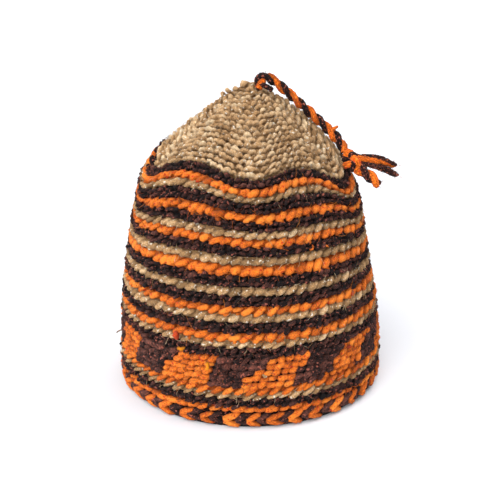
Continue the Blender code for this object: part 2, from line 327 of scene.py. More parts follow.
def linear(hex_colour):
    """A linear colour from an sRGB hex value."""
    channels = [int(hex_colour[place:place + 2], 16) / 255 for place in (0, 2, 4)]
    return [c / 12.92 if c <= 0.04045 else ((c + 0.055) / 1.055) ** 2.4 for c in channels]


class HatSizes(bpy.types.PropertyGroup):
    """Sizes of the hat and its stitches."""

    height: bpy.props.FloatProperty(
        name="Height",
        description="From the rim to the tip",
        default=round(CROWN_HIGH[2] - RIM_LOW[2], 4),
        unit="LENGTH",
    )
    radius: bpy.props.FloatProperty(
        name="Radius",
        description="Half the width of the hat, just above its rim",
        default=0.0911,
        unit="LENGTH",
    )
    wall: bpy.props.FloatProperty(
        name="Fabric thickness",
        description="Thickness of the knitted wall",
        default=0.0048,
        unit="LENGTH",
    )
    stitches: bpy.props.IntProperty(
        name="Stitches in a round",
        description="Stitches in each round of the side",
        default=72,
    )
    crown_pitch: bpy.props.FloatProperty(
        name="Crown stitch",
        description="Distance from stitch to stitch on the crown",
        default=0.0050,
        unit="LENGTH",
    )
    row_shift: bpy.props.FloatProperty(
        name="Row shift",
        description="How far each round moves on from the one below, in stitches",
        default=0.3,
    )
    cord_diameter: bpy.props.FloatProperty(
        name="Cord diameter",
        description="Diameter of the twisted cord",
        default=0.006,
        unit="LENGTH",
    )
    cord_twist: bpy.props.FloatProperty(
        name="Cord twist",
        description="Length of one full turn of the cord's two yarns",
        default=0.016,
        unit="LENGTH",
    )
    fibres: bpy.props.IntProperty(
        name="Loose fibres",
        description="Number of loose fibres that stand out of the wool",
        default=9500,
    )


class WoolColours(bpy.types.PropertyGroup):
    """Colours of the yarns and of the coloured spots in them."""

    orange: bpy.props.FloatVectorProperty(
        name="Orange yarn",
        description="Main colour of the orange yarn",
        subtype="COLOR",
        default=linear("F8761E"),
    )
    beige: bpy.props.FloatVectorProperty(
        name="Beige yarn",
        description="Main colour of the undyed beige yarn",
        subtype="COLOR",
        default=linear("D4A26C"),
    )
    red: bpy.props.FloatVectorProperty(
        name="Red wool",
        description="Colour of the red spots in the orange wool",
        subtype="COLOR",
        default=linear("C2441C"),
    )
    yellow: bpy.props.FloatVectorProperty(
        name="Yellow wool",
        description="Colour of the thin yellow spots in the orange wool",
        subtype="COLOR",
        default=linear("F08C16"),
    )
    brown: bpy.props.FloatVectorProperty(
        name="Brown yarn",
        description="Main colour of the dark brown yarn",
        subtype="COLOR",
        default=linear("2E1410"),
    )


class StudioSettings(bpy.types.PropertyGroup):
    """Camera distance, floor and light."""

    camera_distance: bpy.props.FloatProperty(
        name="Camera distance",
        description="Distance of the camera in front of the hat's axis",
        default=0.635,
        unit="LENGTH",
    )
    camera_height: bpy.props.FloatProperty(
        name="Camera height",
        description="Height of the camera above the floor",
        default=0.314,
        unit="LENGTH",
    )
    camera_pitch: bpy.props.FloatProperty(
        name="Camera pitch",
        description="How far the camera looks down",
        default=math.radians(19.51),
        subtype="ANGLE",
    )
    floor: bpy.props.FloatVectorProperty(
        name="Floor colour",
        description="Colour of the plain floor",
        subtype="COLOR",
        default=linear("D6D6D8"),
    )
    key_strength: bpy.props.FloatProperty(
        name="Key light",
        description="Strength of the soft light from the upper left",
        default=4.5,
    )
    sky: bpy.props.FloatProperty(
        name="Surrounding light",
        description="Strength of the even light all round",
        default=0.64,
    )


def smooth_rows(rows, steps):
    """Rows of numbers along a smooth curve through the given rows, with steps in each span."""
    rows = np.array(rows, dtype=float)
    rows = np.vstack([2 * rows[0] - rows[1], rows, 2 * rows[-1] - rows[-2]])
    before, start, end, after = rows[:-3], rows[1:-2], rows[2:-1], rows[3:]
    stages = []
    for step in range(steps):
        t = step / steps
        slope = (end - before) * t
        bend = (2 * before - 5 * start + 4 * end - after) * t ** 2
        swing = (3 * start - before - 3 * end + after) * t ** 3
        stages.append((2 * start + slope + bend + swing) / 2)
    curve = np.stack(stages, axis=1).reshape(-1, rows.shape[1])
    return np.vstack([curve, rows[-2]])


class Wall:
    """The outer surface of the hat, by distance up from the rim, bearing and depth."""

    def __init__(self, sizes):
        columns = smooth_rows(SECTIONS, SAMPLES_PER_SPAN).T
        self.columns = dict(zip(SECTION_COLUMNS, columns))
        self.columns["height"] = self.columns["height"] * sizes.height
        self.columns["radius"] = self.columns["radius"] * sizes.radius
        rise = np.diff(self.columns["height"])
        narrowing = -np.diff(self.columns["radius"])
        self.arc = np.concatenate([[0.0], np.cumsum(np.hypot(rise, narrowing))])
        rise = np.gradient(self.columns["height"], self.arc)
        narrowing = -np.gradient(self.columns["radius"], self.arc)
        self.columns["normal_out"] = rise / np.hypot(rise, narrowing)
        self.columns["normal_up"] = narrowing / np.hypot(rise, narrowing)
        self.length = self.arc[-1]

    def at(self, column, arc):
        """One column of the sections at distances up from the rim."""
        return np.interp(arc, self.arc, self.columns[column])

    def points(self, arc, bearing, depth):
        """Points of the wall at depths below its outer surface."""
        starts, droops = np.array(CORNERS + ((360.0 + CORNERS[0][0], CORNERS[0][1]),)).T
        turned = (np.degrees(bearing) - CORNER_TWIST * self.at("twist", arc) - starts[0]) % 360
        passed = np.interp(turned + starts[0], starts, np.arange(len(starts)))
        corner = (1 + np.cos(passed * math.tau)) / 2
        droop = droops[np.rint(passed).astype(int)]
        radius = self.at("radius", arc)
        radius = radius * (1 - FACE_FLATNESS * self.at("flat", arc) * (1 - corner))
        radius = radius - depth * self.at("normal_out", arc)
        height = self.at("height", arc) - depth * self.at("normal_up", arc)
        height = height - CORNER_DROOP * self.at("droop", arc) * droop * corner ** CORNER_SHARPNESS
        height = height - LEAN * self.at("lean", arc) * np.sin(bearing)
        right = radius * np.sin(bearing) - SIDE_SHIFT * self.at("shift", arc)
        return np.stack([right, -radius * np.cos(bearing), height], axis=-1)


def rows_of(stripes, bottom):
    """Every row of a stack of stripes: its kind, the middle of its arc, and its height."""
    rows = []
    arc = bottom
    for kind, count, fullness in stripes:
        height = ROW_HEIGHT[kind] * fullness
        for _ in range(count):
            rows.append((kind, arc + height / 2, height))
            arc += height
    return rows, arc


def crown_rows(wall, bottom):
    """The rounds of the crown: kind, middle of the arc, and height."""
    count = round((wall.length - bottom) / CROWN_ROUND)
    height = (wall.length - bottom) / count
    return [("crown", bottom + (row + 0.5) * height, height) for row in range(count)]


def yarn_of(kind):
    """Which yarn a kind of row is worked in."""
    return {"check": "brown", "chain": "orange", "crown": "beige"}.get(kind, kind)


def set_inputs(node, values):
    """Set unlinked inputs of a node by name."""
    for key, value in values.items():
        node.inputs[key].default_value = value


def add_node(tree, kind, settings=None, links=None):
    """Add a node, set its properties or unlinked inputs, and link the other inputs."""
    node = tree.nodes.new(kind)
    for key, value in (settings or {}).items():
        if isinstance(key, int) or key in node.inputs:
            node.inputs[key].default_value = value
        else:
            setattr(node, key, value)
    for key, socket in (links or {}).items():
        tree.links.new(socket, node.inputs[key])
    return node


def scaled_sum(tree, socket, factor, added):
    """The output of a Math node: a socket times a factor, plus a number or another socket."""
    settings = {"operation": "MULTIPLY_ADD", 1: factor}
    if isinstance(added, float):
        settings[2] = added
    node = add_node(tree, "ShaderNodeMath", settings, {0: socket})
    if not isinstance(added, float):
        tree.links.new(added, node.inputs[2])
    return node.outputs["Value"]


def colour_ramp(node, stops):
    """Give a ColorRamp node its stops of (position, colour)."""
    elements = node.color_ramp.elements
    while len(elements) < len(stops):
        elements.new(1.0)
    for element, (position, colour) in zip(elements, stops):
        element.position = position
        element.color = (*colour, 1.0)


def spun_wool(name, colours, fleck, fleck_share):
    """Handspun wool: deep, main and light colours that change along the yarn at random and with
    painted shade and highlight, with flecks.
    """
    material = bpy.data.materials.new(name)
    material.use_nodes = True
    tree = material.node_tree
    shader = tree.nodes["Principled BSDF"]
    set_inputs(shader, {"Roughness": 0.92, "Specular IOR Level": 0.12})
    set_inputs(shader, {"Sheen Weight": 0.04, "Sheen Roughness": 0.4})

    # The yarn attribute holds mm along the yarn, the angle round it, and the stitch's own shade,
    # darkened by painted shade in its hollows, at its ends and on the fabric
    yarn = add_node(tree, "ShaderNodeAttribute", {"attribute_name": "yarn"})
    place = add_node(tree, "ShaderNodeTexCoord").outputs["Object"]
    parts = add_node(tree, "ShaderNodeSeparateXYZ", links={"Vector": yarn.outputs["Vector"]})

    # Thick and thin, light and dark patches of handspinning, about 7 mm long
    patches = add_node(
        tree, "ShaderNodeTexNoise", {"Scale": 140.0, "Detail": 2.0}, {"Vector": place}
    )
    # Strands lie along the yarn, about 0.7 mm wide and 1.3 mm long, and differ by stitch
    stretched = add_node(
        tree,
        "ShaderNodeMapping",
        {"vector_type": "POINT", "Scale": (0.42, 1.4, 37.0)},
        {"Vector": yarn.outputs["Vector"]},
    )
    strands = add_node(
        tree,
        "ShaderNodeTexNoise",
        {"Scale": 1.9, "Detail": 3.0, "Roughness": 0.65},
        {"Vector": stretched.outputs["Vector"]},
    )
    # Painted shade and highlight: the deep colour falls where the yarn attribute is darkened in
    # the hollows, and the light colour falls more on the crests
    shade_with_painted_shadow = scaled_sum(tree, parts.outputs["Z"], 0.24, -0.17)
    with_patches = scaled_sum(tree, patches.outputs["Fac"], 0.28, shade_with_painted_shadow)
    tone = scaled_sum(tree, strands.outputs["Fac"], 1.30, with_patches)
    ramp = add_node(tree, "ShaderNodeValToRGB", links={"Fac": tone})
    colour_ramp(ramp, [(0.54, colours[0]), (0.71, colours[1]), (0.90, colours[2])])

    # Flecks of another wool, about 1.5 mm across; on the beige wool the whitish flecks are partly
    # painted highlight specks
    specks = add_node(
        tree, "ShaderNodeTexNoise", {"Scale": 560.0, "Detail": 1.0}, {"Vector": place}
    )
    chosen = add_node(
        tree,
        "ShaderNodeMapRange",
        {"From Min": 0.70 - fleck_share, "From Max": 0.76 - fleck_share},
        {"Value": specks.outputs["Fac"]},
    )
    mixed = add_node(
        tree,
        "ShaderNodeMix",
        {"data_type": "RGBA", 7: (*fleck, 1.0)},
        {0: chosen.outputs["Result"], 6: ramp.outputs["Color"]},
    )
    tree.links.new(mixed.outputs[2], shader.inputs["Base Color"])

    bump = add_node(
        tree,
        "ShaderNodeBump",
        {"Strength": 1.0, "Distance": 0.0016},
        {"Height": strands.outputs["Fac"]},
    )
    tree.links.new(bump.outputs["Normal"], shader.inputs["Normal"])
    return material


def tinted(colour, shade):
    """A colour made lighter (above 1) or darker (below 1)."""
    return [min(1.0, channel * shade) for channel in colour]


def wool(yarn):
    """The material of one yarn, made once."""
    found = bpy.data.materials.get("handspun_wool_" + yarn)
    if found:
        return found
    main = list(getattr(bpy.context.scene.wool_colours, yarn))
    if yarn in ("orange", "red", "yellow"):
        # Dyed wool: deep as painted shade in its hollows, yellow in random streaks and as painted
        # highlight on its crests, and flecked with red
        light = linear("FF9636") if yarn == "orange" else tinted(main, 1.4)
        colours = (tinted(main, 0.36), main, light)
        return spun_wool("handspun_wool_" + yarn, colours, linear("CC3A16"), 0.060)
    if yarn == "beige":
        # Undyed wool: straw-coloured, pale as painted highlight on its crests, with whitish fibres
        # that are partly painted highlight specks
        colours = (tinted(main, 0.42), main, linear("F2D6AC"))
        return spun_wool("handspun_wool_beige", colours, linear("F4EAD6"), 0.048)
    # Dark wool: painted nearly black as shade in its hollows, lighter on its crests as painted
    # highlight and in random streaks, with pinkish fibres
    colours = (tinted(main, 0.08), main, linear("7E4A3C"))
    return spun_wool("handspun_wool_brown", colours, linear("A85C4A"), 0.075)


def add_piece(mesh, yarns, node=None):
    """Put a mesh in the scene as a smooth piece of the hat, in place of a CAD node."""
    for yarn in yarns:
        mesh.materials.append(wool(yarn))
    mesh.shade_smooth()
    piece = bpy.data.objects.new(mesh.name, mesh)
    bpy.context.scene.collection.objects.link(piece)
    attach(piece, "root")
    if node:
        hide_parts(node)
    return piece


def lobe_shape(sides, rings, fullness):
    """One plump lobe: for each point its place along it (-1 to 1), and its side and out parts."""
    shape = bmesh.new()
    bmesh.ops.create_uvsphere(shape, u_segments=sides, v_segments=rings, radius=1.0)
    bmesh.ops.recalc_face_normals(shape, faces=shape.faces)
    places = np.array([vertex.co[:] for vertex in shape.verts])
    faces = [[vertex.index for vertex in face.verts] for face in shape.faces]
    shape.free()
    along = np.arcsin(np.clip(places[:, 2], -1, 1)) / (math.pi / 2)
    around = np.arctan2(places[:, 1], places[:, 0])
    girth = np.sqrt(np.maximum(0.0, 1 - np.abs(along) ** fullness))
    return {
        "along": along,
        "around": around,
        "side": girth * np.cos(around),
        "out": -girth * np.sin(around),
        "faces": faces,
    }


def laid_on_wall(wall, shape, arc, bearing, path, half_width, half_depth):
    """Points of lobes laid on the wall along a path that gives metres across, up and deep."""
    along = shape["along"][None, :]
    across, up, depth = path(along)
    across_ahead, up_ahead, _ = path(along + 0.03)
    across_back, up_back, _ = path(along - 0.03)
    heading = np.arctan2(up_ahead - up_back, across_ahead - across_back)
    across = across - shape["side"] * half_width * np.sin(heading)
    up = up + shape["side"] * half_width * np.cos(heading)
    depth = depth - shape["out"] * half_depth
    radius = np.maximum(wall.at("radius", arc), 0.004)
    return wall.points(arc + up, bearing + across / radius, depth)


def mesh_of_lobes(name, shape, points, lengths, shades, slots, ragged=0.0):
    """One mesh of many lobes, with the yarn attribute and a material slot for each lobe."""
    count, each = points.shape[:2]
    starts = range(0, count * each, each)
    faces = [[start + corner for corner in face] for start in starts for face in shape["faces"]]
    points = points + np.random.default_rng(count).normal(0, 1, points.shape) * ragged
    mesh = bpy.data.meshes.new(name)
    mesh.from_pydata(points.reshape(-1, 3).tolist(), [], faces)
    yarn = np.empty((count, each, 3))
    yarn[:, :, 0] = shape["along"] * np.reshape(lengths, (-1, 1)) / 2 * 1000
    yarn[:, :, 1] = shape["around"]
    # Painted shade: each lobe is darker on its flanks and back and towards its ends, so its crest
    # is lighter
    hollow = 1 - np.clip(shape["out"], -1, 1)
    yarn[:, :, 2] = np.reshape(shades, (-1, 1)) - PAINTED_HOLLOW_SHADE * hollow
    yarn[:, :, 2] -= PAINTED_END_SHADE * shape["along"] ** 4
    layer = mesh.attributes.new("yarn", "FLOAT_VECTOR", "POINT")
    layer.data.foreach_set("vector", yarn.ravel())
    slot_of_face = np.repeat(np.array(slots, dtype=np.int32), len(shape["faces"]))
    mesh.polygons.foreach_set("material_index", slot_of_face)
    return mesh


def row_lobes(wall, kind, arc, height, count, phase, chance):
    """Places and sizes of one row's stitches, all a little uneven."""
    style = dict(zip(STITCH_COLUMNS, STITCHES[kind]))
    pitch = math.tau * wall.at("radius", arc) / count
    number = np.arange(count)

    def strayed(mean, spread):
        return chance.normal(mean, spread * style["unevenness"], count)

    return {
        "arc": arc + strayed(0, STRAY_PLACE),
        "bearing": (number + phase + strayed(0, STRAY_ALONG)) * math.tau / count,
        "half_length": pitch * style["length"] / 2 * strayed(1, STRAY_LENGTH),
        "half_width": height * style["width"] / 2 * strayed(1, STRAY_THICKNESS),
        "half_depth": STITCH_HALF_DEPTH * strayed(1, STRAY_THICKNESS),
        "lean": np.radians(style["lean"] + strayed(0, STRAY_LEAN)),
        "arch": np.full(count, style["arch"] / 1000),
        "tuck": np.full(count, style["tuck"] / 1000),
        "lift": strayed(0, STRAY_PLACE),
        "shade": chance.normal(style["shade"], SHADE_SPREAD, count),
    }


def under_loops(row, chance):
    """Small loops of the same yarn that show below some of a row's stitches."""
    some = chance.random(len(row["arc"])) < UNDER_LOOPS
    loops = {key: values[some].copy() for key, values in row.items()}
    count = int(some.sum())
    loops["arc"] -= chance.uniform(0.0018, 0.0034, count)
    loops["half_length"] *= chance.uniform(0.28, 0.48, count)
    loops["half_width"] *= chance.uniform(0.40, 0.70, count)
    loops["half_depth"] *= 0.8
    loops["lean"] += np.radians(chance.normal(0, 45, count))
    loops["shade"] -= 0.3
    return loops


def stitch_points(wall, shape, stitches):
    """Points of leaning stitches that tuck their upper right ends under their neighbours."""
    column = {key: values[:, None] for key, values in stitches.items()}

    def path(along):
        across = column["half_length"] * along * np.cos(column["lean"])
        up = column["half_length"] * along * np.sin(column["lean"])
        up = up - column["arch"] * (along ** 2 - 0.4)
        depth = STITCH_DEPTH + column["tuck"] * along + STITCH_END_DEPTH * along ** 2
        return across, up, depth - column["lift"]

    place = (column["arc"], column["bearing"])
    return laid_on_wall(wall, shape, *place, path, column["half_width"], column["half_depth"])


def stitches_piece(name, wall, parts, slots, yarns, node):
    """A piece of many stitches, given as the columns of each row."""
    stitches = {key: np.concatenate([part[key] for part in parts]) for key in parts[0]}
    shape = lobe_shape(*STITCH_LOBE)
    points = stitch_points(wall, shape, stitches)
    lengths = stitches["half_length"] * 2
    slots = slots or [0] * len(lengths)
    mesh = mesh_of_lobes(name, shape, points, lengths, stitches["shade"], slots, RAGGEDNESS)
    add_piece(mesh, yarns, node)


def finished(shape, name):
    """Turn a finished bmesh into a mesh whose faces point out."""
    bmesh.ops.recalc_face_normals(shape, faces=shape.faces)
    mesh = bpy.data.meshes.new(name)
    shape.to_mesh(mesh)
    shape.free()
    return mesh


def extruded_ring(shape, edges):
    """Extrude a loop of edges and give the new loop's edges and the new faces."""
    grown = bmesh.ops.extrude_edge_only(shape, edges=edges)["geom"]
    faces = [item for item in grown if isinstance(item, bmesh.types.BMFace)]
    new_edges = [item for item in grown if isinstance(item, bmesh.types.BMEdge)]
    return [edge for edge in new_edges if len(edge.link_faces) == 1], faces


def fabric_mesh(name, wall, sides, rings, closed_top):
    """A shell of fabric through rings of (arc, depth, slot), its inner face purled."""
    shape = bmesh.new()
    layer = shape.verts.layers.float_vector.new("yarn")
    bmesh.ops.create_circle(shape, segments=sides, radius=0.1)
    edges = list(shape.edges)
    side_angle = math.tau / sides
    loops = []
    for number, (arc, depth, slot) in enumerate(rings):
        if number:
            edges, faces = extruded_ring(shape, edges)
            for face in faces:
                face.material_index = slot
        verts = list({vertex for edge in edges for vertex in edge.verts})
        bearings = [round(math.atan2(v.co.x, -v.co.y) / side_angle) * side_angle for v in verts]
        bearings = np.array(bearings)
        purl = PURL_COLUMNS * np.cos(bearings * sides / 2) if depth > PURL_DEPTH else 0.0
        points = wall.points(np.full(len(verts), arc), bearings, np.full(len(verts), depth) + purl)
        if arc == 0.0:
            points[:, 2] = 0.0
        radius = wall.at("radius", arc)
        for vertex, point, bearing in zip(verts, points, bearings):
            vertex.co = point
            # Painted shadow: the fabric behind the stitches is given a dark shade
            vertex[layer] = (arc * 1000, bearing * radius * 1000, PAINTED_FABRIC_SHADE)
        loops.append(edges)
    if closed_top:
        for loop in (loops[0], loops[-1]):
            bmesh.ops.holes_fill(shape, edges=loop, sides=sides)
    else:
        bmesh.ops.bridge_loops(shape, edges=loops[0] + loops[-1])
    return finished(shape, name)


def slot_of(kind):
    """The place of a row's yarn among the materials of a piece that has all three."""
    return YARNS.index(yarn_of(kind))


def fabric_rings(rows, bottom, top, wall_depth):
    """Rings of a fabric shell: up behind the stitches, then down the purled inner face."""
    rings = [(bottom, FABRIC_HOLLOW, slot_of(rows[0][0]))]
    for kind, middle, height in rows:
        rings.append((middle, FABRIC_CREST, slot_of(kind)))
        rings.append((min(middle + height / 2, top), FABRIC_HOLLOW, slot_of(kind)))
    for kind, middle, height in reversed(rows):
        rings.append((min(middle + height / 2, top), wall_depth - PURL_ROWS, slot_of(kind)))
        rings.append((middle, wall_depth, slot_of(kind)))
    rings.append((bottom, wall_depth - PURL_ROWS, slot_of(rows[0][0])))
    return rings


def swept_yarn(shape, centres, thickness, sides, shade, slot):
    """Sweep a round yarn along its centre points, closed at both ends."""
    layers = shape.verts.layers.float_vector
    layer = layers.get("yarn") or layers.new("yarn")
    thickness = np.broadcast_to(thickness, len(centres)).tolist()
    centres = [Vector(point) for point in np.array(centres).tolist()]
    made = bmesh.ops.create_circle(shape, segments=sides, radius=1.0, cap_ends=True)
    verts = made["verts"]
    for face in {face for vertex in verts for face in vertex.link_faces}:
        face.material_index = slot
    edges = list({edge for vertex in verts for edge in vertex.link_edges})
    last = Matrix.Identity(4)
    across = None
    travelled = 0.0
    for number, centre in enumerate(centres):
        ahead = centres[min(number + 1, len(centres) - 1)] - centres[max(number - 1, 0)]
        ahead.normalize()
        if across is None:
            across = ahead.orthogonal()
        across = (across - ahead * across.dot(ahead)).normalized()
        size = thickness[number]
        up = ahead.cross(across)
        turn = Matrix((across * size, up * size, ahead)).transposed().to_4x4()
        turn.translation = centre
        if number:
            travelled += (centre - centres[number - 1]).length
            edges, faces = extruded_ring(shape, edges)
            verts = list({vertex for edge in edges for vertex in edge.verts})
            for face in faces:
                face.material_index = slot
        bmesh.ops.transform(shape, matrix=turn @ last.inverted(), verts=verts)
        for vertex in verts:
            offset = vertex.co - centre
            around = math.atan2(offset.dot(up), offset.dot(across))
            vertex[layer] = (travelled * 1000, around, shade)
        last = turn
    filled = bmesh.ops.holes_fill(shape, edges=edges, sides=sides)["faces"]
    for face in filled:
        face.material_index = slot


def steady_frames(points):
    """Directions ahead, across and up at each point of a line, without sudden turns."""
    ahead = unit(np.gradient(points, axis=0))
    across = np.zeros_like(points)
    across[0] = unit(np.cross(ahead[0], (0.0, 1.0, 0.0)))
    for number in range(1, len(points)):
        last = across[number - 1]
        across[number] = unit(last - ahead[number] * last.dot(ahead[number]))
    return ahead, across, np.cross(ahead, across)


def twisted_pair(points, turn_length, spread, start_angle):
    """Centre lines of two yarns twisted round a line."""
    _, across, up = steady_frames(points)
    steps = np.linalg.norm(np.diff(points, axis=0), axis=1)
    along = np.concatenate([[0.0], np.cumsum(steps)])
    lines = []
    for yarn in (0, 1):
        angle = (along / turn_length * math.tau + start_angle + math.pi * yarn)[:, None]
        lines.append(points + spread * (np.cos(angle) * across + np.sin(angle) * up))
    return lines


def knot_place():
    """Centre of the cord's end knot, and the directions along it, to its side and to its front."""
    route = np.array(CORD_ROUTE)
    along = unit(route[-1] - route[-2])
    side = unit(np.cross(along, (0.0, 1.0, 0.0)))
    return route[-1] + along * (KNOT_LENGTH / 2 + KNOT_GAP), along, side, np.cross(along, side)


def cord_fibres(shape, per_spot, chance):
    """Points and lengths of fibres that stand out of the cord and its yarn ends on all sides."""
    centre = knot_place()[0]
    lines = [smooth_rows(CORD_ROUTE, 4)] + [smooth_rows(lock, 12) + centre for lock in LOCKS]
    spots = np.repeat(np.concatenate(lines), per_spot, axis=0)
    count = len(spots)
    out = unit(chance.normal(0, 1, (count, 3)))
    heading = unit(out + chance.normal(0, 0.5, (count, 3)))
    across = unit(np.cross(heading, chance.normal(0, 1, (count, 3))))
    up = np.cross(heading, across)
    lengths = chance.uniform(0.0015, 0.0036, count)
    thick = chance.uniform(0.00006, 0.00012, (count, 1, 1))
    share = ((shape["along"] + 1) / 2)[None, :, None]
    roots = (spots + out * CORD_FIBRE_START)[:, None, :]
    points = roots + heading[:, None, :] * share * lengths[:, None, None]
    points = points + across[:, None, :] * share ** 2 * chance.normal(0, 0.0008, (count, 1, 1))
    points = points + across[:, None, :] * shape["side"][None, :, None] * thick
    return points + up[:, None, :] * shape["out"][None, :, None] * thick, lengths


def mesh_from(shape, name):
    """Turn a finished bmesh into a mesh of rough yarn."""
    chance = np.random.default_rng(len(shape.verts))
    for vertex in shape.verts:
        vertex.co += Vector(chance.normal(0, RAGGEDNESS, 3))
    return finished(shape, name)


class HAT_OT_stage(bpy.types.Operator):
    """Set up the camera, the pale floor and the soft light"""

    bl_idname = "hat.stage"
    bl_label = "Studio"

    def execute(self, context):
        studio = context.scene.hat_studio
        scene = context.scene

        lens = bpy.data.cameras.new("camera")
        lens.lens = 70.0
        lens.sensor_width = 36.0
        camera = bpy.data.objects.new("camera", lens)
        camera.location = (0.0, -studio.camera_distance, studio.camera_height)
        camera.rotation_euler = (math.radians(90) - studio.camera_pitch, 0.0, 0.0)
        scene.collection.objects.link(camera)
        scene.camera = camera

        shape = bmesh.new()
        bmesh.ops.create_grid(shape, x_segments=1, y_segments=1, size=4.0)
        mesh = bpy.data.meshes.new("floor")
        shape.to_mesh(mesh)
        shape.free()
        floor = bpy.data.objects.new("floor", mesh)
        scene.collection.objects.link(floor)
        paper = bpy.data.materials.new("matt_white_paper")
        paper.use_nodes = True
        surface = paper.node_tree.nodes["Principled BSDF"]
        set_inputs(surface, {"Base Color": (*studio.floor, 1.0)})
        set_inputs(surface, {"Roughness": 0.9, "Specular IOR Level": 0.1})
        mesh.materials.append(paper)

        world = bpy.data.worlds.new("white_room")
        world.use_nodes = True
        tree = world.node_tree
        background = tree.nodes["Background"]
        set_inputs(background, {"Color": (*linear("F2F7FF"), 1.0)})
        # The backdrop looks white, and gives the hat less light than it shows
        ray = add_node(tree, "ShaderNodeLightPath")
        strength = add_node(
            tree,
            "ShaderNodeMapRange",
            {"To Min": studio.sky, "To Max": 1.3},
            {"Value": ray.outputs["Is Camera Ray"]},
        )
        tree.links.new(strength.outputs["Result"], background.inputs["Strength"])
        scene.world = world

        # Even, soft light from the upper left and from above, from far away
        lights = (
            ("key_light", (-0.55, -1.15, 1.05), 65.0, studio.key_strength),
            ("top_light", (0.55, 0.30, 1.40), 50.0, studio.key_strength * 0.36),
            ("left_light", (-1.40, -0.10, 0.60), 50.0, studio.key_strength * 0.14),
        )
        for name, place, spread, strength in lights:
            light = bpy.data.lights.new(name, "SUN")
            light.angle = math.radians(spread)
            light.energy = strength
            lamp = bpy.data.objects.new(name, light)
            lamp.location = place
            aim = Vector((0.0, 0.0, 0.10)) - Vector(place)
            lamp.rotation_euler = aim.to_track_quat("-Z", "Y").to_euler()
            scene.collection.objects.link(lamp)
        scene.view_settings.view_transform = "Standard"
        return {"FINISHED"}


class HAT_OT_cord(bpy.types.Operator):
    """Make the cord of two yarns twisted together, after its end knot"""

    bl_idname = "hat.cord"
    bl_label = "Twisted cord"

    def execute(self, context):
        sizes = context.scene.hat_sizes
        line = smooth_rows(CORD_ROUTE, 9)
        spread = sizes.cord_diameter * CORD_SPREAD
        yarns = twisted_pair(line, sizes.cord_twist, spread, math.radians(60))
        shape = bmesh.new()
        chance = np.random.default_rng(3)
        for slot, centres in enumerate(yarns):
            wave = chance.normal(1, 0.10, (26, 1))
            wave[:3] += 0.25
            wave = smooth_rows(wave, 8)[:, 0]
            shares = np.linspace(0, 1, len(centres))
            wave = np.interp(shares, np.linspace(0, 1, len(wave)), wave)
            thickness = sizes.cord_diameter * CORD_YARN * wave
            swept_yarn(shape, centres, thickness, 10, -0.2, slot)
        cord = add_piece(mesh_from(shape, "twisted_cord"), ("orange", "brown"), "cord")
        return {"FINISHED"}


class HAT_OT_tassel(bpy.types.Operator):
    """Tie the end knot and leave its loose yarn ends"""

    bl_idname = "hat.tassel"
    bl_label = "Knot and yarn ends"

    def execute(self, context):
        centre, along, side, front = knot_place()
        shape = bmesh.new()
        turn = np.linspace(0, math.tau, 49)
        # The yarn's route through an overhand knot
        loop = np.stack(
            [
                (np.sin(turn) + 2 * np.sin(2 * turn)) / 3,
                (np.cos(turn) - 2 * np.cos(2 * turn)) / 3,
                -np.sin(3 * turn),
            ],
            axis=1,
        )
        half = KNOT_WIDTH / 2 - KNOT_INSET_ACROSS
        for slot, (tilt, size) in enumerate(((0.0, 1.0), (1.1, 0.86))):
            turned_x = loop[:, 0] * math.cos(tilt) - loop[:, 1] * math.sin(tilt)
            turned_y = loop[:, 0] * math.sin(tilt) + loop[:, 1] * math.cos(tilt)
            points = centre + size * (
                turned_x[:, None] * along * (KNOT_LENGTH / 2 - KNOT_INSET_ALONG)
                + turned_y[:, None] * side * half
                + loop[:, 2][:, None] * front * half * 0.75
            )
            swept_yarn(shape, points, KNOT_YARN, 10, -0.1, slot)

        for lock, (turn_length, spread, start, strands) in zip(LOCKS, LOCK_TWISTS):
            line = smooth_rows(lock, 14) + centre
            taper = np.linspace(*LOCK_TAPER, len(line))
            taper[-len(LOCK_TIP):] *= LOCK_TIP
            pair = twisted_pair(line, turn_length, spread, math.radians(start))
            for centres, (radius, shade, slot) in zip(pair, strands):
                swept_yarn(shape, centres, radius * taper, 8, shade, slot)
        add_piece(mesh_from(shape, "end_knot"), ("orange", "brown"), "tassel")
        return {"FINISHED"}


class HAT_OT_fabric(bpy.types.Operator):
    """Make the fabric behind the stitches, with its purled inner face"""

    bl_idname = "hat.fabric"
    bl_label = "Fabric behind the stitches"

    def execute(self, context):
        sizes = context.scene.hat_sizes
        wall = Wall(sizes)
        sides = sizes.stitches * 2
        rim_top = EDGING_HEIGHT - 0.0002
        rim = (
            (0.0, sizes.wall),
            (0.0, 0.0028),
            (0.0, 0.0018),
            (0.0012, 0.0013),
            (0.0060, 0.0018),
            (rim_top, 0.0028),
            (rim_top, sizes.wall - PURL_ROWS),
            (0.0060, sizes.wall),
        )
        rings = [(arc, depth, YARNS.index("brown")) for arc, depth in rim]
        add_piece(fabric_mesh("rim_fabric", wall, sides, rings, False), YARNS, "edging")

        bottom = EDGING_HEIGHT
        for name, stripes, node in (
            ("band_fabric", BAND_STRIPES, "check_band"),
            ("side_fabric", SIDE_STRIPES, "striped_side"),
        ):
            rows, top = rows_of(stripes, bottom)
            rings = fabric_rings(rows, bottom, top, sizes.wall)
            add_piece(fabric_mesh(name, wall, sides, rings, False), YARNS, node)
            bottom = top

        rows = crown_rows(wall, bottom)[:-1]
        half = rows[0][2] / 2
        beige = YARNS.index("beige")
        rings = []
        for _, middle, _ in reversed(rows):
            rings.append((middle, FABRIC_CREST, beige))
            rings.append((middle - half, FABRIC_HOLLOW, beige))
        for _, middle, _ in rows[:-2]:
            rings.append((middle - half, sizes.wall - PURL_ROWS, beige))
            rings.append((middle, sizes.wall, beige))
        add_piece(fabric_mesh("crown_fabric", wall, 96, rings, True), YARNS, "crown")
        return {"FINISHED"}


